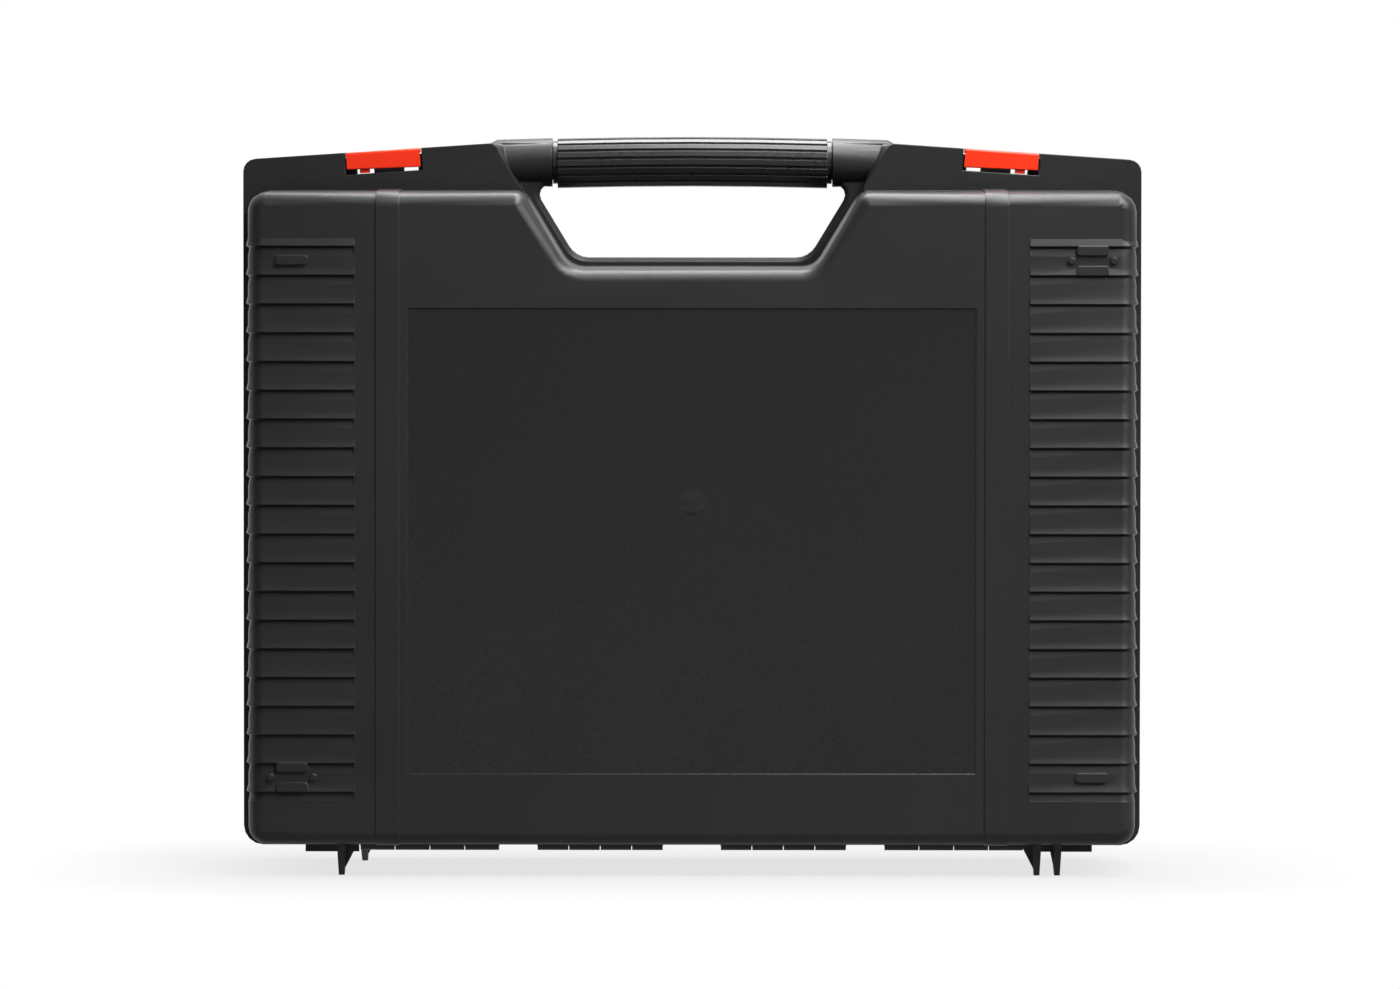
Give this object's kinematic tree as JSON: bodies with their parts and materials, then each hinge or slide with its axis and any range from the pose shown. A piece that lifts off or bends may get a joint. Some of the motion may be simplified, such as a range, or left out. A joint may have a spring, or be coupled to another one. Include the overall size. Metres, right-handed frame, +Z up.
{
  "type": "hard equipment case",
  "caption": "Moulded plastic carrying case in two half shells on a bottom hinge, with a fluted carrying grip in a hand opening, ribbed ends and red snap latches.",
  "frame": {"origin": "middle of the case on the plane its feet stand on", "axes": "+X along the handle, +Y towards the rear half, +Z up"},
  "size_m": [0.39, 0.1124, 0.3189],
  "materials": {
    "shell_plastic": "satin moulded black with a fine grain",
    "grip_plastic": "satin moulded black with smooth flutes",
    "latch_plastic": "smooth red-orange",
    "pin_steel": "plain drawn wire"
  },
  "bodies": {
    "rear": {"rear_shell": "shell_plastic", "rear_grip": "grip_plastic", "hinge_pin_1": "pin_steel", "hinge_pin_2": "pin_steel", "hinge_pin_3": "pin_steel", "hinge_pin_4": "pin_steel", "latch_pin_left": "pin_steel", "latch_pin_right": "pin_steel"},
    "lid": {"front_shell": "shell_plastic", "front_grip": "grip_plastic"},
    "latch_l": {"latch_left": "latch_plastic"},
    "latch_r": {"latch_right": "latch_plastic"}
  },
  "joints": [
    {"name": "lid_hinge", "type": "hinge", "parent": "rear", "child": "lid", "pos_m": [0, 0, 0.0107], "axis": [1, 0, 0], "range_deg": [0, 130]},
    {"name": "latch_left_flip", "type": "hinge", "parent": "rear", "child": "latch_l", "pos_m": [-0.13428, 0.0095, 0.30963], "axis": [-0.9978, 0, -0.0663], "range_deg": [0, 100]},
    {"name": "latch_right_flip", "type": "hinge", "parent": "rear", "child": "latch_r", "pos_m": [0.13428, 0.0095, 0.30963], "axis": [-0.9978, 0, 0.0663], "range_deg": [0, 100]}
  ]
}
